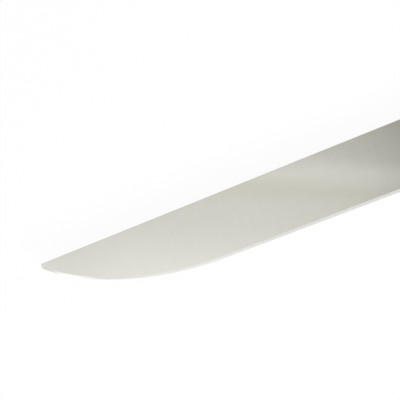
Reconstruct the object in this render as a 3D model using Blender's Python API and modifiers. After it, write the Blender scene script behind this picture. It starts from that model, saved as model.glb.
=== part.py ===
"""A butcher knife with a straight spine and a riveted full-tang handle, in metres, +Z up.

The knife lies on its right cheek. The tip points to -X and the butt to +X, the spine faces +Y and
the cutting edge -Y, and the left side of the blade faces +Z. The origin is under the middle of the
knife's bounding box, on the surface that it lies on.

The outlines are drawn in blade coordinates: u runs from the tip to the butt along the spine, and v
runs from the spine down towards the edge. Heights z are counted from the knife's middle plane.
"""

import math

import bmesh
import bpy
from mathutils import Vector
from mathutils.geometry import interpolate_bezier

# Blade outline
BLADE_LENGTH = 0.254  # tip to heel
HEEL_HEIGHT = 0.0422  # spine to edge at the heel
BELLY_HEIGHT = 0.0387  # spine to edge where the belly begins to rise
BELLY_LENGTH = 0.106  # tip to the beginning of the belly
BELLY_REACH = 0.046  # length of the belly curve's handle at that end
TIP_REACH = 0.024  # length of the belly curve's handle at the tip
TIP_ANGLE = math.radians(45)  # edge against the spine, just behind the rounded tip
TIP_RADIUS = 0.0025  # rounds the edge into the blunt tip
TIP_BLUNT = 0.0017  # spine to where that rounding begins
NOSE_RADIUS = 0.0008  # between the blunt tip and the spine
HEEL_RADIUS = 0.0012
HEEL_LEAN = 0.003  # how far the back of the heel leans towards the handle
CHOIL_RADIUS = 0.007  # between the back of the heel and the tang

# Blade sections
TANG_THICKNESS = 0.0025  # also the spine's, at the heel
TIP_THICKNESS = 0.0007
HEEL_BEVEL_WIDTH = 0.0020  # square to the edge
TIP_BEVEL_WIDTH = 0.0012
BEVEL_ANGLE = math.radians(10.5)  # sharpening angle on each side
EDGE_THICKNESS = 0.00008
CORNER_EASE = 0.00025  # softened corners of the spine and the tang
PLUNGE_LENGTH = 0.0085  # the ground faces run out into the flat tang over this length

# Handle outline; heights run from the spine's line to the outline's corners, before these are rounded
HANDLE_SETBACK = 0.010  # heel to the front of the handle
HANDLE_LENGTH = 0.123
FRONT_HEIGHT = 0.0262
FINGER_HEIGHT = 0.0247
FINGER_SETBACK = 0.022  # front of the handle to the finger hollow
PALM_HEIGHT = 0.0306
WAIST_HEIGHT = 0.0262
WAIST_SETBACK = 0.037  # butt to the waist ahead of the hook
HOOK_HEIGHT = 0.0392
BACK_DROP_LENGTH = 0.042  # the back of the handle drops over this length
BACK_DROP = 0.0075
BUTT_LEAN = 0.0025  # the butt's upper corner stands this far ahead of the hook's
BACK_RADIUS = 0.110
BUTT_RADIUS = 0.014
HOOK_RADIUS = 0.0070
GRIP_RADIUS = 0.034  # finger hollow and waist
PALM_RADIUS = 0.075

# Handle sections
SCALE_THICKNESS = 0.0086
WALL_HEIGHT = 0.0013  # upright edge of a scale, beside the tang
ROUND_WIDTH = 0.0075  # how far the rounding of the long edges reaches in
FRONT_ROUND = 0.0140
BUTT_ROUND = 0.0095
FRONT_BOW = 0.0020  # the front of a scale bows towards the blade

# Rivets
RIVET_FRONT_SETBACK = 0.021
RIVET_BUTT_SETBACK = 0.027
HEAD_DIAMETER = 0.0080
HEAD_THICKNESS = 0.0018
BARREL_DIAMETER = 0.0050
PIN_DIAMETER = 0.0030
BORE_FLOOR = 0.0014  # solid metal between the socket's head and its bore
LEAD_IN = 0.0004  # chamfer of the pin's end and of the bore's mouth

# Fits and resolution
SEAT_GAP = 0.0003  # between two pieces that touch on the real knife
END_GAP = 0.0006  # the pin and the barrel stop short of the metal ahead of them
CUTTER_MARGIN = 0.001
LARGEST_SHARE = 0.4  # a softened corner or a bevel takes no more than this of a thin section
LEAN_SPAN = 0.001  # the edge's direction at a point is taken over this far to each side
ARC_STEPS = 8
BELLY_RUNGS = 36
STRAIGHT_RUNGS = 8
HANDLE_RUNGS = 56
FACE_ROWS = 5  # rows of faces down the blade's ground side
TURN_STEPS = 32
CORNER_ANGLE = math.radians(30)  # sharper corners than this are shaded as corners
BEVEL_LINE_ANGLE = math.radians(3)  # the same for the fine lines of the ground blade

TANG_HALF = TANG_THICKNESS / 2
SCALE_FLOOR = TANG_HALF + SEAT_GAP
CHEEK_PLANE = SCALE_FLOOR + SCALE_THICKNESS
HANDLE_FRONT = BLADE_LENGTH + HANDLE_SETBACK
KNIFE_LENGTH = HANDLE_FRONT + HANDLE_LENGTH
EDGE_SLOPE = (HEEL_HEIGHT - BELLY_HEIGHT) / (BLADE_LENGTH - BELLY_LENGTH)
MERGE = 0.00001
FLATNESS = 0.0000001  # vertices this close to a plane lie in it


def clear_scene():
    for obj in list(bpy.data.objects):
        bpy.data.objects.remove(obj)


def new_collection(name):
    collection = bpy.data.collections.new(name)
    bpy.context.scene.collection.children.link(collection)
    return collection


def new_material(name, colour, roughness, metallic):
    material = bpy.data.materials.new(name)
    material.use_nodes = True
    shader = material.node_tree.nodes["Principled BSDF"]
    shader.inputs["Base Color"].default_value = (*colour, 1)
    shader.inputs["Roughness"].default_value = roughness
    shader.inputs["Metallic"].default_value = metallic
    return material


def satin_steel():
    """Warm light grey, ground and polished to a satin."""
    return new_material("satin_steel", (0.66, 0.66, 0.62), 0.3, 1.0)


def oiled_hardwood():
    return new_material("oiled_hardwood", (0.16, 0.06, 0.03), 0.45, 0.0)


def flush_brass():
    """Sanded level with the wood."""
    return new_material("flush_brass", (0.72, 0.52, 0.24), 0.3, 1.0)


def new_object(name, mesh, collection, parent, material=None):
    obj = bpy.data.objects.new(name, mesh)
    collection.objects.link(obj)
    obj.parent = parent
    if material:
        mesh.materials.clear()
        mesh.materials.append(material)
    return obj


def mesh_from(bm, name, sharp_angle):
    bmesh.ops.recalc_face_normals(bm, faces=bm.faces)
    mesh = bpy.data.meshes.new(name)
    bm.to_mesh(mesh)
    bm.free()
    mesh.shade_smooth()
    mesh.set_sharp_from_angle(angle=sharp_angle)
    return mesh


def smooth_turned(obj):
    """Shades a turned object's finished mesh smooth round its axis and sharp at its corners."""
    finished = bpy.data.meshes.new_from_object(obj.evaluated_get(bpy.context.evaluated_depsgraph_get()))
    obj.modifiers.clear()
    obj.data = finished
    finished.shade_smooth()
    finished.set_sharp_from_angle(angle=CORNER_ANGLE)


# Outlines


def filleted_path(corners):
    """The points of a polyline given as (point, radius), with each inner corner rounded to its radius."""
    path = [Vector(corners[0][0])]
    last = len(corners) - 1
    for index in range(1, last):
        corner, radius = Vector(corners[index][0]), corners[index][1]
        back = Vector(corners[index - 1][0]) - corner
        ahead = Vector(corners[index + 1][0]) - corner
        half_angle = back.angle(ahead) / 2
        room_back = back.length * (1 if index == 1 else 0.5)
        room_ahead = ahead.length * (1 if index == last - 1 else 0.5)
        reach = min(radius / math.tan(half_angle), room_back, room_ahead)
        bisector = (back.normalized() + ahead.normalized()).normalized()
        centre = corner + bisector * reach / math.cos(half_angle)
        spoke = corner + back.normalized() * reach - centre
        turn = math.copysign(math.pi - 2 * half_angle, spoke.cross(corner - centre))
        path += [centre + turned(spoke, turn * step / ARC_STEPS) for step in range(ARC_STEPS + 1)]
    path.append(Vector(corners[-1][0]))
    return [path[0]] + [point for before, point in zip(path, path[1:]) if (point - before).length > MERGE]


def turned(spoke, angle):
    cosine, sine = math.cos(angle), math.sin(angle)
    return Vector((spoke.x * cosine - spoke.y * sine, spoke.x * sine + spoke.y * cosine))


def point_along(path, share):
    """The point at that share of a polyline's length."""
    lengths = [(b - a).length for a, b in zip(path, path[1:])]
    left = share * sum(lengths)
    for start, end, length in zip(path, path[1:], lengths):
        if left <= length:
            return start.lerp(end, left / length)
        left -= length
    return path[-1]


def v_at(path, u):
    """How far below the spine a path runs, at u. Past its ends the path goes on at the same v."""
    for start, end in zip(path, path[1:]):
        if start.x <= u < end.x:
            return start.lerp(end, (u - start.x) / (end.x - start.x)).y
    return path[0].y if u < path[0].x else path[-1].y


def spine_v(u):
    """The spine is straight, with a small round corner at the blunt tip."""
    if u >= NOSE_RADIUS:
        return 0.0
    return NOSE_RADIUS - math.sqrt(NOSE_RADIUS**2 - (NOSE_RADIUS - u) ** 2)


def straight_edge(u):
    """A point of the edge between the belly and the heel, or of its continuation past the heel."""
    return Vector((u, BELLY_HEIGHT + (u - BELLY_LENGTH) * EDGE_SLOPE))


def heel_path():
    """From the end of the edge round the heel's corner, up its back and along the tang to the handle."""
    heel = straight_edge(BLADE_LENGTH)
    path = filleted_path(
        [
            (straight_edge(BELLY_LENGTH), 0),
            (heel, HEEL_RADIUS),
            ((BLADE_LENGTH + HEEL_LEAN, FRONT_HEIGHT), CHOIL_RADIUS),
            ((HANDLE_FRONT, FRONT_HEIGHT), 0),
        ]
    )[1:]
    shoulder = heel.y - HEEL_BEVEL_WIDTH
    above = next(index for index, point in enumerate(path) if point.y < shoulder)
    before, after = path[above - 1], path[above]
    path.insert(above, before.lerp(after, (before.y - shoulder) / (before.y - after.y)))
    return path


def sharp_path():
    """The cutting edge, from the blunt tip round the belly and straight to the heel."""
    turn = math.pi / 2 - TIP_ANGLE
    centre = Vector((TIP_RADIUS, TIP_BLUNT))
    path = [centre + turned(Vector((-TIP_RADIUS, 0)), -turn * step / ARC_STEPS) for step in range(ARC_STEPS)]
    tip_end = centre + turned(Vector((-TIP_RADIUS, 0)), -turn)
    tip_handle = tip_end + TIP_REACH * Vector((math.cos(TIP_ANGLE), math.sin(TIP_ANGLE)))
    belly_end = straight_edge(BELLY_LENGTH)
    belly_handle = belly_end - BELLY_REACH * Vector((1, EDGE_SLOPE)).normalized()
    curve = interpolate_bezier(tip_end, tip_handle, belly_handle, belly_end, BELLY_RUNGS + 1)
    path += [point.to_2d() for point in curve]
    heel = heel_path()[0]
    return path + [belly_end.lerp(heel, step / STRAIGHT_RUNGS) for step in range(1, STRAIGHT_RUNGS + 1)]


def butt_middle():
    return Vector((KNIFE_LENGTH - BUTT_LEAN / 2, (BACK_DROP + HOOK_HEIGHT) / 2))


def handle_back():
    """The top of the handle, from its front to the straight of the butt."""
    return filleted_path(
        [
            ((HANDLE_FRONT, 0), 0),
            ((KNIFE_LENGTH - BACK_DROP_LENGTH, 0), BACK_RADIUS),
            ((KNIFE_LENGTH - BUTT_LEAN, BACK_DROP), BUTT_RADIUS),
            (butt_middle(), 0),
        ]
    )[:-1]


def handle_belly():
    """The underside of the handle: finger hollow, palm swell, waist and hook."""
    finger = HANDLE_FRONT + FINGER_SETBACK
    waist = KNIFE_LENGTH - WAIST_SETBACK
    return filleted_path(
        [
            ((HANDLE_FRONT, FRONT_HEIGHT), 0),
            ((finger, FINGER_HEIGHT), GRIP_RADIUS),
            (((finger + waist) / 2, PALM_HEIGHT), PALM_RADIUS),
            ((waist, WAIST_HEIGHT), GRIP_RADIUS),
            ((KNIFE_LENGTH, HOOK_HEIGHT), HOOK_RADIUS),
            (butt_middle(), 0),
        ]
    )[:-1]


# Rungs, which are pairs of points: one on the upper outline and one on the lower


def blade_rungs():
    """From the tip to the front of the handle: upright to the heel, then fanned round it."""
    edge, heel = sharp_path(), heel_path()
    rungs = [(Vector((point.x, spine_v(point.x))), point) for point in edge]
    fan_start, fan_end = rungs[-1][0], Vector((HANDLE_FRONT, 0))
    below = heel[1:]
    rungs += [(fan_start.lerp(fan_end, (i + 1) / len(below)), point) for i, point in enumerate(below)]
    return rungs


def handle_rungs():
    """From the front of the handle to the straight of the butt, closer together at both ends."""
    back, belly = handle_back(), handle_belly()
    rungs = []
    for step in range(HANDLE_RUNGS + 1):
        even = step / HANDLE_RUNGS
        share = (even + (1 - math.cos(math.pi * even)) / 2) / 2
        rungs.append((point_along(back, share), point_along(belly, share)))
    return rungs


# Sheets between two outlines


def sheet_between(rungs, rows, height):
    """A grid moved onto the rungs: rows(i, length) gives the points of a rung as shares of its length,
    and height(i, j, place) gives each point's z."""
    across = len(rows(0, 1.0)) - 1
    along = len(rungs) - 1
    bm = bmesh.new()
    bmesh.ops.create_grid(bm, x_segments=along, y_segments=across, size=0.5)
    for vertex in bm.verts:
        i = round((vertex.co.x + 0.5) * along)
        j = round((vertex.co.y + 0.5) * across)
        top, bottom = rungs[i]
        place = top.lerp(bottom, rows(i, (bottom - top).length)[j])
        vertex.co = (place.x, -place.y, height(i, j, place))
    return bm


def join_flat_faces(bm, height):
    """Makes one face of all those that lie in the plane z = height."""
    flat = [
        face for face in bm.faces if all(abs(vertex.co.z - height) < FLATNESS for vertex in face.verts)
    ]
    bmesh.ops.dissolve_faces(bm, faces=flat)


def outline_centre():
    """The middle of the knife's bounding box, in x and y."""
    points = [point for rung in blade_rungs() + handle_rungs() for point in rung]
    lows = [min(point[axis] for point in points) for axis in (0, 1)]
    highs = [max(point[axis] for point in points) for axis in (0, 1)]
    return (lows[0] + highs[0]) / 2, -(lows[1] + highs[1]) / 2


# Blade


def bevel_width(u):
    """Measured square to the edge."""
    share = min(u / BLADE_LENGTH, 1.0)
    return TIP_BEVEL_WIDTH + (HEEL_BEVEL_WIDTH - TIP_BEVEL_WIDTH) * share


def edge_stretch(u, edge):
    """How much longer a short way from the edge is towards the spine than square to the edge, at u."""
    rise = (edge_v(u + LEAN_SPAN, edge) - edge_v(u - LEAN_SPAN, edge)) / (2 * LEAN_SPAN)
    return math.hypot(1, rise)


def shoulder_half(u):
    """Half the thickness behind the edge bevel."""
    return EDGE_THICKNESS / 2 + bevel_width(u) * math.tan(BEVEL_ANGLE)


def spine_half(u):
    """Half the spine's thickness, which falls evenly from the heel to the tip."""
    share = min(u / BLADE_LENGTH, 1.0)
    return (TIP_THICKNESS + (TANG_THICKNESS - TIP_THICKNESS) * share) / 2


def edge_v(u, edge):
    """How far below the spine the cutting edge runs, at u, or its continuation past the heel."""
    return straight_edge(u).y if u >= edge[-1].x else v_at(edge, u)


def blade_half(place, edge):
    """Half the steel's thickness. The flat-ground side tapers from the spine to the shoulder of the bevel
    and runs out into the full tang behind the heel, and the bevel cuts it down to the edge."""
    if place.x >= HANDLE_FRONT:
        return TANG_HALF
    deep = edge_v(place.x, edge)
    stretch = edge_stretch(place.x, edge)
    share = min(place.y / max(deep - bevel_width(place.x) * stretch, MERGE), 1.0)
    ground = spine_half(place.x) * (1 - share) + shoulder_half(place.x) * share
    runout = min(max((place.x - BLADE_LENGTH) / PLUNGE_LENGTH, 0.0), 1.0)
    runout = runout * runout * (3 - 2 * runout)
    side = ground + (TANG_HALF - ground) * runout
    bevel = EDGE_THICKNESS / 2 + max(deep - place.y, 0.0) / stretch * math.tan(BEVEL_ANGLE)
    return min(side, bevel)


def blade_mesh():
    """The upper half of the blade and tang, open at the middle plane."""
    edge = sharp_path()
    rungs = blade_rungs() + handle_rungs()[1:]

    def rows(i, length):
        """A narrow row at the spine, the ground side, and a row for the bevel or for a softened corner."""
        end = rungs[i][1]
        shoulder = edge_v(end.x, edge) - bevel_width(end.x) * edge_stretch(end.x, edge)
        top = min(CORNER_EASE / length, LARGEST_SHARE)
        bottom = 1 - min(max(end.y - shoulder, CORNER_EASE) / length, LARGEST_SHARE)
        side = [top + (bottom - top) * row / FACE_ROWS for row in range(FACE_ROWS + 1)]
        return [0.0, *side, 1.0]

    def height(i, j, place):
        half = blade_half(place, edge)
        if 0 < j < FACE_ROWS + 2:
            return half
        return max(half - min(CORNER_EASE, LARGEST_SHARE * half), EDGE_THICKNESS / 2)

    bm = sheet_between(rungs, rows, height)
    join_flat_faces(bm, TANG_HALF)
    rim = [side for side in bm.edges if side.is_boundary]
    skirt = bmesh.ops.extrude_edge_only(bm, edges=rim)["geom"]
    for vertex in skirt:
        if isinstance(vertex, bmesh.types.BMVert):
            vertex.co.z = 0
    return mesh_from(bm, "blade", BEVEL_LINE_ANGLE)


def add_blade(collection, frame, steel, cutters):
    blade = new_object("blade", blade_mesh(), collection, frame, steel)
    mirror = blade.modifiers.new("other half", "MIRROR")
    mirror.use_axis = (False, False, True)
    mirror.merge_threshold = MERGE
    cut_all(blade, cutters)
    return blade


# Handle scales


def scale_mesh(side):
    """One scale, with a flat cheek, rounded long edges and a sloping front. side is +1 for the left one."""
    rungs = handle_rungs()
    middles = [(top + bottom) / 2 for top, bottom in rungs]
    turns = [math.pi / 2 * step / ARC_STEPS for step in range(ARC_STEPS + 1)]

    def rows(i, length):
        """Close together in the two rounded edges, with the flat cheek between them."""
        width = min(ROUND_WIDTH, LARGEST_SHARE * length)
        near = [width * (1 - math.cos(turn)) / length for turn in turns]
        return near + [1 - share for share in reversed(near)]

    def end_rounding(distance, length):
        left = 1 - min(distance / length, 1.0)
        return math.sqrt(1 - left * left)

    def height(i, j, place):
        front = end_rounding(middles[i].x - middles[0].x, FRONT_ROUND)
        butt = end_rounding(middles[-1].x - middles[i].x, BUTT_ROUND)
        across = math.sin(turns[min(j, 2 * ARC_STEPS + 1 - j)])
        return SCALE_FLOOR + WALL_HEIGHT + (SCALE_THICKNESS - WALL_HEIGHT) * front * butt * across

    bm = sheet_between(rungs, rows, height)
    join_flat_faces(bm, CHEEK_PLANE)
    for vertex in bm.verts:
        fade = max(1 - (vertex.co.x - HANDLE_FRONT) / FRONT_ROUND, 0.0)
        across = min(-vertex.co.y / FRONT_HEIGHT, 1.0)
        vertex.co.x -= FRONT_BOW * fade * 4 * across * (1 - across)
    floor = bmesh.ops.extrude_face_region(bm, geom=bm.faces[:])["geom"]
    for vertex in floor:
        if isinstance(vertex, bmesh.types.BMVert):
            vertex.co.z = SCALE_FLOOR
    join_flat_faces(bm, SCALE_FLOOR)
    if side < 0:
        bmesh.ops.scale(bm, vec=(1, 1, -1), verts=bm.verts)
    return mesh_from(bm, "scale", CORNER_ANGLE)


def add_scale(name, side, collection, frame, wood, cutters):
    scale = new_object(name, scale_mesh(side), collection, frame, wood)
    cut_all(scale, cutters)
    return scale


# Rivets


def turned_object(name, profile, collection, frame, place, material=None):
    """A profile of (radius, z) points, run from top to bottom, turned about the rivet's axis."""
    mesh = bpy.data.meshes.new(name)
    points = [(radius, 0, z) for radius, z in profile]
    mesh.from_pydata(points, [(i, i + 1) for i in range(len(points) - 1)], [])
    obj = new_object(name, mesh, collection, frame, material)
    obj.location = (place.x, -place.y, 0)
    screw = obj.modifiers.new("turn", "SCREW")
    screw.steps = screw.render_steps = TURN_STEPS
    screw.use_merge_vertices = True
    screw.merge_threshold = MERGE
    screw.use_smooth_shade = False
    return obj


def rivet_places():
    """The rivets stand on the handle's centre line: one near each end and one halfway between."""
    back, belly = handle_back(), handle_belly()
    ends = (HANDLE_FRONT + RIVET_FRONT_SETBACK, KNIFE_LENGTH - RIVET_BUTT_SETBACK)
    stations = (ends[0], sum(ends) / 2, ends[1])
    return [Vector((u, (v_at(back, u) + v_at(belly, u)) / 2)) for u in stations]


def hole_cutter(name, collection, frame, place):
    """The barrel's hole through tang and scales, with a seat for a head in each cheek."""
    seat = HEAD_DIAMETER / 2 + SEAT_GAP
    hole = BARREL_DIAMETER / 2 + SEAT_GAP
    top = CHEEK_PLANE + CUTTER_MARGIN
    floor = CHEEK_PLANE - HEAD_THICKNESS - SEAT_GAP
    upper = [(0, top), (seat, top), (seat, floor), (hole, floor)]
    lower = [(radius, -z) for radius, z in reversed(upper)]
    cutter = turned_object(name, upper + lower, collection, frame, place)
    cutter.hide_render = True
    cutter.display_type = "WIRE"
    return cutter


def cut_all(obj, cutters):
    for cutter in cutters:
        cut = obj.modifiers.new(cutter.name, "BOOLEAN")
        cut.operation = "DIFFERENCE"
        cut.object = cutter


def add_rivet(label, place, collection, frame, brass):
    """A cutler's rivet: the pin of the right half is driven into the barrel of the left half."""
    head, barrel, pin = HEAD_DIAMETER / 2, BARREL_DIAMETER / 2, PIN_DIAMETER / 2
    bore = pin + SEAT_GAP
    under_head = CHEEK_PLANE - HEAD_THICKNESS
    barrel_end = -under_head + END_GAP
    bore_end = under_head - BORE_FLOOR
    pin_end = bore_end - END_GAP
    socket_profile = [
        (0, CHEEK_PLANE),
        (head, CHEEK_PLANE),
        (head, under_head),
        (barrel, under_head),
        (barrel, barrel_end),
        (bore + LEAD_IN / 2, barrel_end),
        (bore, barrel_end + LEAD_IN),
        (bore, bore_end),
        (0, bore_end),
    ]
    pin_profile = [
        (0, pin_end),
        (pin - LEAD_IN, pin_end),
        (pin, pin_end - LEAD_IN),
        (pin, -under_head),
        (head, -under_head),
        (head, -CHEEK_PLANE),
        (0, -CHEEK_PLANE),
    ]
    for half, profile in (("socket", socket_profile), ("pin", pin_profile)):
        smooth_turned(turned_object(f"{label}_rivet_{half}", profile, collection, frame, place, brass))


def build_knife():
    clear_scene()
    knife = new_collection("butcher_knife")
    helpers = new_collection("cutters")
    centre_x, centre_y = outline_centre()
    frame = bpy.data.objects.new("knife_frame", None)
    frame.location = (-centre_x, -centre_y, CHEEK_PLANE)
    knife.objects.link(frame)

    steel = satin_steel()
    wood = oiled_hardwood()
    brass = flush_brass()

    labels = ("front", "middle", "rear")
    places = rivet_places()
    cutters = [
        hole_cutter(f"{label}_hole", helpers, frame, place) for label, place in zip(labels, places)
    ]
    add_blade(knife, frame, steel, cutters)
    add_scale("left_scale", 1, knife, frame, wood, cutters)
    add_scale("right_scale", -1, knife, frame, wood, cutters)
    for label, place in zip(labels, places):
        add_rivet(label, place, knife, frame, brass)


build_knife()
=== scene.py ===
import math

import bpy
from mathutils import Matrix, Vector


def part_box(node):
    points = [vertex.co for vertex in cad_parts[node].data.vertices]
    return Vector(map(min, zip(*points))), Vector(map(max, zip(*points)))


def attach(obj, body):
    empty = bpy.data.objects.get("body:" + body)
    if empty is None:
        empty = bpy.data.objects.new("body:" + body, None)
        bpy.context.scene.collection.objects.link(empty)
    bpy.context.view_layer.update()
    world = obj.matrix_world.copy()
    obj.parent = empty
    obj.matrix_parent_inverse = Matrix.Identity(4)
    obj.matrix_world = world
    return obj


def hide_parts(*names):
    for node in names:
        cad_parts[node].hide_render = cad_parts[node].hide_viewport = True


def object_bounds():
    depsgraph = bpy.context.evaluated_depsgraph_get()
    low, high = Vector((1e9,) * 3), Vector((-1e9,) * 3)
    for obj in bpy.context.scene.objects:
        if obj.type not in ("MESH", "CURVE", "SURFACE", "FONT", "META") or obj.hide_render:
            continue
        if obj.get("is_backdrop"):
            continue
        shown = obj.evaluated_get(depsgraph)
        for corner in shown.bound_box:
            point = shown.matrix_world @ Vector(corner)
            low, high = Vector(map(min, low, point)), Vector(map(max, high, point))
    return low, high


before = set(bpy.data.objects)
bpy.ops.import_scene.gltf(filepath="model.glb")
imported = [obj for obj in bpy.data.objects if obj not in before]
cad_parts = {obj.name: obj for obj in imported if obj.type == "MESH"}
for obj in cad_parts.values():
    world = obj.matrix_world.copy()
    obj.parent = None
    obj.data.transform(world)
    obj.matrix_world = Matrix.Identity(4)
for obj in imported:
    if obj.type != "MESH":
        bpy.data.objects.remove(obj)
cad_low, cad_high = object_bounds()

# The blade
# One forging of stainless steel that runs through the handle as a full tang. Its sides are ground flat
# from the spine to the shoulder of the edge and polished until they mirror the room softly, its back is
# linished lengthwise, and the cutting edge is honed on both sides.

blade_low, blade_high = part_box("blade")
steel_middle = (blade_low.z + blade_high.z) / 2
honed_end = blade_low.x + 0.2545  # the bevel stops at the heel
bevel_lean = (math.radians(5), math.radians(25))  # least and most, off the flat of the blade
thinnest_shoulder = 0.00014  # half a thickness: each face of the bevel has a corner closer in than this
softened_lean = math.radians(20)  # the shoulder is softened where both its faces lean less than this
back_lean = math.radians(25)  # a back, a butt or an eased corner leans more than this
thinnest_back = 0.00012  # thinner faces are the edge's own flat, or specks of an eased corner
shoulder_ease = 0.00045  # how far the last polish softens the shoulder of the bevel, to each side
shoulder_steps = 4
side_smoothing = math.radians(7)
same_place = 0.000002
steel_grey = (0.669, 0.663, 0.603)
back_grey = (0.560, 0.552, 0.505)
honed_grey = (0.732, 0.727, 0.692)
linished, honed = 1, 2  # the blade's material slots after the ground steel's
line_grains, streak_grains = 45.0, 22.0  # a metre, along a line and along a streak
streak_share = 0.13  # streaks to a line
one_slant, other_slant = math.radians(63), math.radians(-38)  # of the stray scratches
groove_shade = 0.75  # painted shade in a groove: its tone against the metal's
scratch_shine, scratch_roughness = 0.10, 0.05  # what a stray scratch adds: a painted glint to the colour, and roughness
smudge_roughness = 0.30  # what a smudge adds, as a share of the metal's own


def alone(piece):
    """Selects one object, with nothing else selected."""
    bpy.ops.object.select_all(action="DESELECT")
    piece.select_set(True)
    bpy.context.view_layer.objects.active = piece


def merged_copy(node, name):
    """A copy of a CAD solid with its loose triangles joined, ready to be finished."""
    piece = bpy.data.objects.new(name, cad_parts[node].data.copy())
    bpy.context.scene.collection.objects.link(piece)
    alone(piece)
    bpy.ops.mesh.customdata_custom_splitnormals_clear()
    bpy.ops.object.mode_set(mode="EDIT")
    bpy.ops.mesh.select_all(action="SELECT")
    bpy.ops.mesh.remove_doubles(threshold=same_place)
    bpy.ops.object.mode_set(mode="OBJECT")
    piece.data.materials.clear()
    return piece


def add_node(tree, kind, inputs, **settings):
    """A shader node whose inputs are given as values or as the sockets that feed them."""
    made = tree.nodes.new("ShaderNode" + kind)
    for name, setting in settings.items():
        setattr(made, name, setting)
    for name, given in inputs.items():
        if isinstance(given, bpy.types.NodeSocket):
            tree.links.new(given, made.inputs[name])
        else:
            made.inputs[name].default_value = given
    return made


def new_material(name):
    """A material with its node tree, its shader and the socket of the place on the object."""
    material = bpy.data.materials.new(name)
    material.use_nodes = True
    tree = material.node_tree
    place = add_node(tree, "TexCoord", {}).outputs["Object"]
    return material, tree, tree.nodes["Principled BSDF"], place


def blend_colour(tree, share, first, second):
    """The socket of a colour between two others."""
    return add_node(tree, "Mix", {0: share, 6: first, 7: second}, data_type="RGBA").outputs[2]


def from_to(tree, value, low, high, new_low, new_high):
    """The socket of a value carried from one range to another, smoothly and no further."""
    ranged = add_node(
        tree,
        "MapRange",
        {"Value": value, "From Min": low, "From Max": high, "To Min": new_low, "To Max": new_high},
        interpolation_type="SMOOTHSTEP",
    )
    return ranged.outputs["Result"]


def sum_of(tree, *values):
    """The socket of several values added up."""
    total = values[0]
    for value in values[1:]:
        total = add_node(tree, "Math", {0: total, 1: value}, operation="ADD").outputs[0]
    return total


def times(tree, value, factor):
    """The socket of a product."""
    return add_node(tree, "Math", {0: value, 1: factor}, operation="MULTIPLY").outputs[0]


def turned(tree, place, turn):
    """The socket of a place turned by three angles."""
    return add_node(tree, "Mapping", {"Vector": place, "Rotation": turn}).outputs[0]


def stretched_noise(tree, place, grains, detail=3.0, roughness=0.5):
    """Noise with so many grains a metre along each axis."""
    place = add_node(tree, "Mapping", {"Vector": place, "Scale": grains}).outputs[0]
    noise = {"Vector": place, "Scale": 1.0, "Detail": detail, "Roughness": roughness}
    return add_node(tree, "TexNoise", noise).outputs[0]


def abrasive_marks_group():
    """Marks of abrasives on metal: fine lines, broader streaks, stray scratches and handling smudges."""
    tree = bpy.data.node_groups.new("abrasive_marks", "ShaderNodeTree")
    sockets = tree.interface
    sockets.new_socket(name="Place", in_out="INPUT", socket_type="NodeSocketVector")
    sockets.new_socket(name="Turn", in_out="INPUT", socket_type="NodeSocketVector")
    sockets.new_socket(name="Lines a Metre", in_out="INPUT", socket_type="NodeSocketFloat")
    given = tree.nodes.new("NodeGroupInput").outputs
    along = turned(tree, given["Place"], given["Turn"])
    fine = {0: given["Lines a Metre"], 1: line_grains, 2: line_grains}
    fine = add_node(tree, "CombineXYZ", fine).outputs[0]
    broad = {0: times(tree, given["Lines a Metre"], streak_share), 1: streak_grains, 2: streak_grains}
    broad = add_node(tree, "CombineXYZ", broad).outputs[0]
    one_way = turned(tree, along, (0, 0, one_slant))
    one_way = stretched_noise(tree, one_way, (2600, 70, 70), detail=1.0, roughness=0.55)
    other_way = turned(tree, along, (0, 0, other_slant))
    other_way = stretched_noise(tree, other_way, (2200, 95, 95), detail=1.0, roughness=0.55)
    scratches = sum_of(
        tree,
        from_to(tree, one_way, 0.70, 0.76, 0.0, 1.0),
        from_to(tree, other_way, 0.71, 0.77, 0.0, 0.7),
    )
    hands = turned(tree, given["Place"], (0, 0, 0.5))
    marks = {
        "Lines": stretched_noise(tree, along, fine),
        "Streaks": stretched_noise(tree, along, broad, detail=4.0),
        "Scratches": scratches,
        "Smudges": stretched_noise(tree, hands, (38, 52, 52), detail=4.0, roughness=0.6),
    }
    for name in marks:
        sockets.new_socket(name=name, in_out="OUTPUT", socket_type="NodeSocketFloat")
    handed = tree.nodes.new("NodeGroupOutput").inputs
    for name, mark in marks.items():
        tree.links.new(mark, handed[name])
    return tree


abrasive_marks = abrasive_marks_group()


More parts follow.
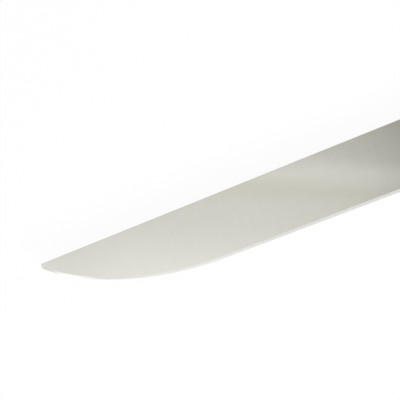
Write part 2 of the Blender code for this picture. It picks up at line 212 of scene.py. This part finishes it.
def worked_metal(name, colour, roughness, turn, lines_a_metre, depth, contrast, groove_shade_share, swell=0.0):
    """Metal with the marks of its last abrasive. The lines run square to the knife's length, turned by
    an angle. Depth is theirs, and swell that of the broad waves under them, in metres."""
    material, tree, shader, place = new_material(name)
    shader.inputs["Metallic"].default_value = 1.0
    marks = tree.nodes.new("ShaderNodeGroup")
    marks.node_tree = abrasive_marks
    tree.links.new(place, marks.inputs["Place"])
    marks.inputs["Turn"].default_value = (0, 0, turn)
    marks.inputs["Lines a Metre"].default_value = lines_a_metre
    lines, streaks = marks.outputs["Lines"], marks.outputs["Streaks"]
    scratches, smudges = marks.outputs["Scratches"], marks.outputs["Smudges"]
    light = (*(min(part * (1 + contrast), 1.0) for part in colour), 1)
    dark = (*(part * (1 - contrast) for part in colour), 1)
    groove_shade_tone = (*(part * groove_shade for part in colour), 1)
    tone = blend_colour(tree, from_to(tree, streaks, 0.3, 0.7, 0.0, 1.0), dark, light)
    # the grooves of the fine lines are darkened in colour: painted shade
    tone = blend_colour(tree, from_to(tree, lines, 0.42, 0.72, 0.0, groove_shade_share), tone, groove_shade_tone)
    # stray scratches are lightened in colour: a painted glint
    tone = blend_colour(tree, times(tree, scratches, scratch_shine), tone, light)
    tree.links.new(tone, shader.inputs["Base Color"])
    gloss = sum_of(
        tree,
        from_to(tree, streaks, 0.25, 0.75, roughness * 0.93, roughness * 1.07),
        from_to(tree, smudges, 0.35, 0.75, 0.0, roughness * smudge_roughness),
        times(tree, scratches, scratch_roughness),
    )
    tree.links.new(gloss, shader.inputs["Roughness"])
    cut = sum_of(tree, lines, times(tree, streaks, 2.0), times(tree, scratches, -1.5))
    bump = add_node(tree, "Bump", {"Height": cut, "Distance": depth, "Strength": 1.0})
    if swell:
        waves = turned(tree, place, (0, 0, -0.2))
        waves = stretched_noise(tree, waves, (46, 70, 70), detail=1.0, roughness=0.55)
        under = add_node(tree, "Bump", {"Height": waves, "Distance": swell, "Strength": 1.0})
        tree.links.new(under.outputs[0], bump.inputs["Normal"])
    tree.links.new(bump.outputs[0], shader.inputs["Normal"])
    return material


def lean(face):
    """The angle by which a face leans off the flat of the blade."""
    return math.acos(min(abs(face.normal.z), 1.0))


blade = merged_copy("blade", "polished_blade")
blade.data.materials.append(
    worked_metal(
        "ground_steel",
        steel_grey,
        roughness=0.050,
        turn=0.0,
        lines_a_metre=6500,
        depth=0.8e-7,
        contrast=0.006,
        groove_shade_share=0.16,
        swell=2.0e-5,
    )
)
blade.data.materials.append(
    worked_metal(
        "linished_back",
        back_grey,
        roughness=0.24,
        turn=math.pi / 2,
        lines_a_metre=5200,
        depth=8.0e-7,
        contrast=0.06,
        groove_shade_share=0.35,
    )
)
blade.data.materials.append(
    worked_metal(
        "honed_edge",
        honed_grey,
        roughness=0.10,
        turn=0.10,
        lines_a_metre=9500,
        depth=3.0e-7,
        contrast=0.02,
        groove_shade_share=0.25,
    )
)
bevels = set()
for face in blade.data.polygons:
    heights = [blade.data.vertices[i].co.z for i in face.vertices]
    under_shoulder = min(abs(height - steel_middle) for height in heights) < thinnest_shoulder
    leans = bevel_lean[0] < lean(face) < bevel_lean[1]
    if under_shoulder and leans and face.center.x < honed_end:
        face.material_index = honed
        bevels.add(face.index)
    elif lean(face) > back_lean:
        face.material_index = honed if max(heights) - min(heights) < thinnest_back else linished
alone(blade)
bpy.ops.object.mode_set(mode="EDIT")
bpy.ops.mesh.select_mode(type="EDGE")
bpy.ops.mesh.select_all(action="DESELECT")
bpy.ops.object.mode_set(mode="OBJECT")
faces_of_edge = {}
for face in blade.data.polygons:
    for key in face.edge_keys:
        faces_of_edge.setdefault(key, []).append(face)
for edge in blade.data.edges:
    both = faces_of_edge[edge.key]
    on_shoulder = len([face for face in both if face.index in bevels]) == 1
    edge.select = on_shoulder and all(lean(face) < softened_lean for face in both)
bpy.ops.object.mode_set(mode="EDIT")
bpy.ops.mesh.bevel(offset=shoulder_ease, segments=shoulder_steps, profile=0.5, clamp_overlap=True)
bpy.ops.object.mode_set(mode="OBJECT")
bpy.ops.object.shade_smooth_by_angle(angle=side_smoothing)
even = blade.modifiers.new("flat_sides_lead", "WEIGHTED_NORMAL")
even.weight = 100
even.keep_sharp = True
bpy.ops.object.modifier_apply(modifier=even.name)
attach(blade, "root")
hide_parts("blade")

# The handle scales
# Two slabs of oiled dark reddish-brown hardwood from the same board, bedded on the flats of the tang and
# sanded level with its edges. The wood closes tightly round the rivet heads.

wood_dark = (0.046, 0.014, 0.008, 1)
wood_middle = (0.135, 0.046, 0.022, 1)
wood_light = (0.235, 0.095, 0.045, 1)
pore_brown = (0.018, 0.007, 0.005, 1)
pith_place = (0.0, 0.038, 0.024)  # carries the knife's middle to its place beside the tree's pith
pith_turn = (0.10, 0.012, -0.045)
ring_pitch = 0.0026
ring_wander = 3.4  # in rings
relief_depth = 0.00009
tang_half = (blade_high.z - blade_low.z) / 2
bedding = 0.00003  # the film of glue under a scale, and the fit round a head
joint_line = 0.0004  # the wood is darker for this far from the tang
soaked_rim = 0.0007  # and for this far from a head
seat_margin = 0.0004  # a seat in the solids is wider than the head by less than this
same_level = 0.00001
scale_smoothing = math.radians(35)
rivet_labels = ("front", "middle", "rear")
rivet_centres = []
for label in rivet_labels:
    low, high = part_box(f"{label}_rivet_socket")
    rivet_centres.append(((low + high) / 2).xy)
head_radius = (high.x - low.x) / 2


def growth_rings(tree, board):
    """Across the board each ring is light, then darkens to a thin line, and wanders along the grain."""
    wander = stretched_noise(tree, board, (9, 30, 30))
    parts = add_node(tree, "SeparateXYZ", {0: board}).outputs
    across = add_node(tree, "CombineXYZ", {0: 0.0, 1: parts[1], 2: parts[2]}).outputs[0]
    from_pith = add_node(tree, "VectorMath", {0: across}, operation="LENGTH").outputs["Value"]
    rings = sum_of(tree, times(tree, from_pith, 1 / ring_pitch), times(tree, wander, ring_wander))
    ring = add_node(tree, "Math", {0: rings}, operation="FRACT").outputs[0]
    tones = add_node(tree, "ValToRGB", {0: ring})
    stops = tones.color_ramp.elements
    stops[0].color = (0.55, 0.55, 0.55, 1)
    stops[1].color = (0.50, 0.50, 0.50, 1)
    for where, level in ((0.10, 0.85), (0.55, 0.66), (0.82, 0.16), (0.94, 0.05)):
        stop = stops.new(where)
        stop.color = (level, level, level, 1)
    return tones.outputs[0]


def beside_rivets(tree, place):
    """A mask of the rims that soak up oil and brass dust round the heads."""
    flat_place = add_node(tree, "Mapping", {"Vector": place, "Scale": (1, 1, 0)}).outputs[0]
    measures = [
        add_node(tree, "VectorMath", {0: flat_place, 1: (*centre, 0)}, operation="DISTANCE")
        for centre in rivet_centres
    ]
    nearest = measures[0].outputs["Value"]
    for measure in measures[1:]:
        nearest = {0: nearest, 1: measure.outputs["Value"]}
        nearest = add_node(tree, "Math", nearest, operation="MINIMUM").outputs[0]
    return from_to(tree, nearest, head_radius, head_radius + soaked_rim, 0.75, 0.0)


def without_sign(tree, value):
    """The socket of a value's size."""
    return add_node(tree, "Math", {0: value}, operation="ABSOLUTE").outputs[0]


def beside_tang(tree, place):
    """A mask of the dark joint line along the tang."""
    level = sum_of(tree, add_node(tree, "SeparateXYZ", {0: place}).outputs[2], -steel_middle)
    return from_to(tree, without_sign(tree, level), tang_half, tang_half + joint_line, 0.75, 0.0)


def hardwood():
    """Growth rings, fibres, open pores, dark end grain, hand-worn corners and a rubbed oil finish."""
    material, tree, shader, place = new_material("oiled_hardwood")
    board = {"Vector": place, "Location": pith_place, "Rotation": pith_turn}
    board = add_node(tree, "Mapping", board).outputs[0]
    rings = growth_rings(tree, board)
    fibres = stretched_noise(tree, board, (42, 1900, 1900), detail=4.0, roughness=0.6)
    figure = stretched_noise(tree, turned(tree, board, (0, 0, 0.06)), (16, 75, 75))
    pores = stretched_noise(tree, board, (230, 4200, 4200), detail=1.0, roughness=0.4)
    pores = from_to(tree, pores, 0.63, 0.72, 0.0, 1.0)
    rubbed = stretched_noise(tree, turned(tree, place, (0, 0, 0.4)), (28, 45, 45), roughness=0.55)
    normal = add_node(tree, "NewGeometry", {}).outputs["Normal"]
    facing = add_node(tree, "SeparateXYZ", {0: normal}).outputs
    towards_ends, towards_sides = without_sign(tree, facing[0]), without_sign(tree, facing[2])
    end_grain = from_to(tree, towards_ends, 0.35, 0.95, 0.0, 0.55)
    worn = from_to(tree, towards_sides, 0.82, 0.985, 1.0, 0.0)
    worn = times(tree, from_to(tree, towards_sides, 0.40, 0.75, 0.0, 1.0), worn)
    worn = times(tree, worn, from_to(tree, rubbed, 0.38, 0.62, 0.15, 1.0))
    tone = blend_colour(tree, rings, wood_dark, wood_middle)
    tone = blend_colour(tree, from_to(tree, fibres, 0.38, 0.72, 0.0, 0.52), tone, wood_light)
    tone = blend_colour(tree, from_to(tree, figure, 0.42, 0.72, 0.0, 0.55), tone, wood_dark)
    tone = blend_colour(tree, times(tree, pores, 0.8), tone, pore_brown)
    tone = blend_colour(tree, end_grain, tone, wood_dark)
    tone = blend_colour(tree, beside_rivets(tree, place), tone, pore_brown)
    tone = blend_colour(tree, beside_tang(tree, place), tone, pore_brown)
    tone = blend_colour(tree, times(tree, worn, 0.30), tone, wood_light)
    tree.links.new(tone, shader.inputs["Base Color"])
    gloss = sum_of(
        tree,
        from_to(tree, rubbed, 0.35, 0.70, 0.34, 0.46),
        times(tree, fibres, 0.08),
        times(tree, pores, 0.22),
        times(tree, worn, -0.06),
    )
    tree.links.new(gloss, shader.inputs["Roughness"])
    relief = sum_of(tree, times(tree, fibres, 0.35), times(tree, pores, -1.0), times(tree, rings, 0.18))
    bump = add_node(tree, "Bump", {"Height": relief, "Distance": relief_depth, "Strength": 0.8})
    tree.links.new(bump.outputs[0], shader.inputs["Normal"])
    return material


def finish_scale(node, name, side):
    """Beds a scale on the tang, closes its seats round the rivet heads and smooths its rounded edges."""
    scale = merged_copy(node, name)
    bed = steel_middle + side * (tang_half + bedding)
    floor = steel_middle + side * min(abs(v.co.z - steel_middle) for v in scale.data.vertices)
    for vertex in scale.data.vertices:
        if abs(vertex.co.z - floor) < same_level:
            vertex.co.z = bed
        for centre in rivet_centres:
            spoke = vertex.co.xy - centre
            if head_radius < spoke.length < head_radius + seat_margin:
                vertex.co.xy = centre + spoke.normalized() * (head_radius + bedding)
    scale.data.materials.append(oiled_hardwood)
    alone(scale)
    bpy.ops.object.shade_smooth_by_angle(angle=scale_smoothing)
    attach(scale, "root")
    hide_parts(node)


oiled_hardwood = hardwood()
finish_scale("left_scale", "left_wood_scale", 1)
finish_scale("right_scale", "right_wood_scale", -1)

# The cutler's rivets
# Three pairs of brass: a headed barrel from the left and a headed pin driven into it from the right. The
# heads are sunk into the cheeks and sanded flush with the wood.

brass_yellow = (0.720, 0.510, 0.225)
cheek_left, cheek_right = cad_high.z, cad_low.z
head_thickness = 0.0018
barrel_radius = 0.0025
bore_radius = 0.0018
pin_radius = 0.0015
end_gap = 0.0006  # the pin and the barrel stop short of the metal ahead of them
bore_floor = 0.0014  # solid metal between the socket's head and its bore
under_left_head = cheek_left - head_thickness
under_right_head = cheek_right + head_thickness
barrel_end = under_right_head + end_gap
bore_end = under_left_head - bore_floor
pin_end = bore_end - end_gap
rim_ease = 0.00012
rivet_sides = 64
rivet_smoothing = math.radians(30)
same_height = 0.000001


def pick_end(piece, z):
    """Selects the faces that lie flat at a height, in edit mode."""
    bpy.ops.object.mode_set(mode="OBJECT")
    for part in (*piece.data.vertices, *piece.data.edges):
        part.select = False
    for face in piece.data.polygons:
        heights = [piece.data.vertices[i].co.z + piece.location.z for i in face.vertices]
        face.select = all(abs(height - z) < same_height for height in heights)
    bpy.ops.object.mode_set(mode="EDIT")


def rivet_head(name, centre, outer, inner):
    """The head: a short cylinder between two heights, its end towards the tang ready for the shank."""
    bpy.ops.object.select_all(action="DESELECT")
    bpy.ops.mesh.primitive_cylinder_add(
        vertices=rivet_sides,
        radius=head_radius,
        depth=abs(outer - inner),
        location=(*centre, (outer + inner) / 2),
    )
    head = bpy.context.object
    head.name = head.data.name = name
    bpy.ops.object.mode_set(mode="EDIT")
    bpy.ops.mesh.select_mode(type="FACE")
    pick_end(head, inner)
    return head


def draw_out(inset, length):
    """Insets the picked end and draws it out or in along the rivet."""
    bpy.ops.mesh.inset(thickness=inset)
    bpy.ops.mesh.extrude_region_move(TRANSFORM_OT_translate={"value": (0, 0, length)})


def finish_rivet(piece, node):
    """Eases the corners, sets the place into the mesh and stands for the CAD node."""
    bpy.ops.object.mode_set(mode="OBJECT")
    bpy.ops.object.transform_apply(location=True, rotation=True, scale=True)
    ease = piece.modifiers.new("eased_corners", "BEVEL")
    ease.width = rim_ease
    ease.segments = 2
    ease.limit_method = "ANGLE"
    bpy.ops.object.modifier_apply(modifier=ease.name)
    bpy.ops.object.shade_smooth_by_angle(angle=rivet_smoothing)
    piece.data.materials.append(flush_brass)
    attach(piece, "root")
    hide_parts(node)


flush_brass = worked_metal(
    "flush_brass",
    brass_yellow,
    roughness=0.27,
    turn=math.pi / 2 - 0.06,
    lines_a_metre=4200,
    depth=1.2e-6,
    contrast=0.07,
    groove_shade_share=0.35,
)
for label, centre in zip(rivet_labels, rivet_centres):
    socket = rivet_head(f"{label}_brass_socket", centre, cheek_left, under_left_head)
    draw_out(head_radius - barrel_radius, barrel_end - under_left_head)
    draw_out(barrel_radius - bore_radius, bore_end - barrel_end)
    finish_rivet(socket, f"{label}_rivet_socket")
    pin = rivet_head(f"{label}_brass_pin", centre, cheek_right, under_right_head)
    draw_out(head_radius - pin_radius, pin_end - under_right_head)
    finish_rivet(pin, f"{label}_rivet_pin")

# The table
# White paper without an end, just under the knife. It looks white to the camera and in reflections, and
# keeps a little of the knife's shadow.

table_size = 8.0
table_level = -0.00005
plain_white = (1, 1, 1, 1)
paper_white = (0.95, 0.95, 0.95, 1)
plain_share = 0.93  # how much of what the camera and reflections see is plain white

bpy.ops.object.select_all(action="DESELECT")
bpy.ops.mesh.primitive_plane_add(size=table_size, location=(0, 0, table_level))
table = bpy.context.object
table.name = "white_table"
table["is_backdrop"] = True
paper = bpy.data.materials.new("white_paper")
paper.use_nodes = True
tree = paper.node_tree
tree.nodes.remove(tree.nodes["Principled BSDF"])
rays = add_node(tree, "LightPath", {}).outputs
seen = sum_of(tree, rays["Is Camera Ray"], rays["Is Glossy Ray"], rays["Is Transmission Ray"])
matt = add_node(tree, "BsdfDiffuse", {"Color": paper_white}).outputs[0]
glow = add_node(tree, "Emission", {"Color": plain_white, "Strength": 1.0}).outputs[0]
surface = add_node(tree, "MixShader", {0: times(tree, seen, plain_share), 1: matt, 2: glow}).outputs[0]
tree.links.new(surface, tree.nodes["Material Output"].inputs["Surface"])
table.data.materials.append(paper)

# The studio light
# A white tent all round, and one soft lamp high on the near side that only the matt surfaces show. The
# tent's roof is brightest towards the near side, has one soft seam overhead, and gives way to the darker
# room beyond it and to the right.

photo_turn = math.radians(22)
seam_turn, seam_place = 0.10, 0.0106  # as slopes, like the stops of the roof
near_end, overhead_start = -0.30, -0.22  # between these the near side gives way to the part overhead
lowest = 0.02  # the least height that a slope is worked out with
wall_top, roof_start = 0.30, 0.62  # heights of a direction, from 0 at the horizon to 1 overhead
matt_level = 0.87  # the tent's light on matt surfaces, against that in reflections
ramp_room = 2.0  # a colour ramp holds levels up to 1, and the roof has brighter ones
lamp_place = Vector((0.35, -1.15, 0.75))
lamp_size = 0.60
lamp_watts = 13.0

tent = bpy.data.worlds.new("light_tent")
bpy.context.scene.world = tent
tent.use_nodes = True
tree = tent.node_tree
background = tree.nodes["Background"]
towards = add_node(tree, "TexCoord", {}).outputs["Generated"]
towards = add_node(tree, "SeparateXYZ", {0: turned(tree, towards, (0, 0, photo_turn))}).outputs
height = add_node(tree, "Math", {0: towards[2], 1: lowest}, operation="MAXIMUM").outputs[0]
rightward = add_node(tree, "Math", {0: towards[0], 1: height}, operation="DIVIDE").outputs[0]
upward = add_node(tree, "Math", {0: towards[1], 1: height}, operation="DIVIDE").outputs[0]
across_seam = sum_of(tree, upward, times(tree, rightward, seam_turn), -seam_place)


def scaled(tree, colour, factor):
    """The socket of a colour made stronger or weaker."""
    return add_node(tree, "VectorMath", {0: colour, "Scale": factor}, operation="SCALE").outputs[0]


def roof_light(tree, slope, levels):
    """Light against the slope at which the roof is seen. Each stop has a slope, a level and, where it
    isn't 1, a share of blue."""
    first, last = levels[0][0], levels[-1][0]
    share = add_node(tree, "MapRange", {"Value": slope, "From Min": first, "From Max": last}).outputs[0]
    ramp = add_node(tree, "ValToRGB", {0: share})
    ramp.color_ramp.interpolation = "CARDINAL"
    stops = ramp.color_ramp.elements
    stops.remove(stops[1])
    for index, (where, level, *tint) in enumerate(levels):
        position = (where - first) / (last - first)
        stop = stops.new(position) if index else stops[0]
        stop.position = position
        blue = level * tint[0] if tint else level
        stop.color = (level / ramp_room, level / ramp_room, blue / ramp_room, 1)
    return scaled(tree, ramp.outputs[0], ramp_room)


near_to_far = roof_light(
    tree,
    across_seam,
    (
        (-1.20, 1.00),
        (-0.80, 1.04),
        (-0.45, 1.10),
        (-0.155, 1.22, 1.01),
        (-0.105, 1.15, 1.01),
        (-0.065, 0.99, 1.01),
        (-0.035, 0.935, 0.99),
        (-0.024, 0.905, 0.97),
        (-0.017, 0.845, 0.95),
        (-0.003, 1.02),
        (0.013, 0.795),
        (0.034, 0.72, 0.96),
        (0.052, 0.645, 0.98),
        (0.20, 0.60),
        (0.45, 0.62),
        (0.80, 0.74),
        (1.20, 0.84),
    ),
)
left_to_right = roof_light(
    tree,
    rightward,
    (
        (-0.80, 1.00),
        (-0.35, 0.90),
        (-0.14, 0.88),
        (-0.09, 0.965),
        (-0.02, 1.00),
        (0.08, 1.00),
        (0.16, 0.95),
        (0.195, 0.86),
        (0.25, 0.68),
        (0.35, 0.62),
        (0.80, 1.00),
    ),
)
near_side = roof_light(
    tree,
    rightward,
    (
        (-0.80, 0.90),
        (-0.42, 0.80),
        (-0.30, 0.84),
        (-0.27, 1.02),
        (-0.245, 1.38),
        (-0.225, 1.44),
        (-0.205, 1.34),
        (-0.175, 1.20),
        (-0.12, 0.95),
        (-0.07, 0.98),
        (-0.03, 1.02),
        (0.03, 1.04),
        (0.12, 1.05),
        (0.18, 1.01),
        (0.22, 0.92),
        (0.26, 0.92),
        (0.30, 0.92),
        (0.34, 0.87),
        (0.80, 0.94),
    ),
)
overhead = from_to(tree, upward, near_end, overhead_start, 0.0, 1.0)
sideways = blend_colour(tree, overhead, near_side, left_to_right)
roof = add_node(tree, "VectorMath", {0: near_to_far, 1: sideways}, operation="MULTIPLY").outputs[0]
high_up = from_to(tree, towards[2], wall_top, roof_start, 0.0, 1.0)
light = blend_colour(tree, high_up, plain_white, roof)
rays = add_node(tree, "LightPath", {}).outputs
mirrored = sum_of(tree, rays["Is Glossy Ray"], rays["Is Transmission Ray"])
mirrored = add_node(tree, "Math", {0: mirrored, 1: 1.0}, operation="MINIMUM").outputs[0]
strength = add_node(tree, "Mix", {0: mirrored, 2: matt_level, 3: 1.0}, data_type="FLOAT").outputs[0]
light = blend_colour(tree, rays["Is Camera Ray"], scaled(tree, light, strength), plain_white)
tree.links.new(light, background.inputs["Color"])
background.inputs["Strength"].default_value = 1.0

softbox = bpy.data.lights.new("softbox", "AREA")
softbox.shape = "SQUARE"
softbox.size = lamp_size
softbox.energy = lamp_watts
lamp = bpy.data.objects.new("softbox", softbox)
bpy.context.scene.collection.objects.link(lamp)
lamp.visible_glossy = False
lamp.location = lamp_place
lamp.rotation_euler = (-lamp_place).to_track_quat("-Z", "Y").to_euler()

# The camera
# It looks straight down on the left side of the blade, turned so that the spine climbs to the right, and
# the picture ends before the heel.

picture_width = 400  # pixels
metres_a_pixel = 0.0006116
measured_level = 0.0108  # a pixel has that size at this height, about that of the blade's left side
camera_height = 0.60  # above it
picture_middle = (-0.08792, 0.02104)

camera_lens = bpy.data.cameras.new("photo_camera")
camera_lens.sensor_width = 36
camera_lens.lens = camera_lens.sensor_width * camera_height / (picture_width * metres_a_pixel)
camera = bpy.data.objects.new("photo_camera", camera_lens)
bpy.context.scene.collection.objects.link(camera)
camera.location = (*picture_middle, measured_level + camera_height)
camera.rotation_euler = (0, 0, -photo_turn)
bpy.context.scene.camera = camera

bpy.context.scene.view_settings.view_transform = "Standard"

low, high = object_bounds()
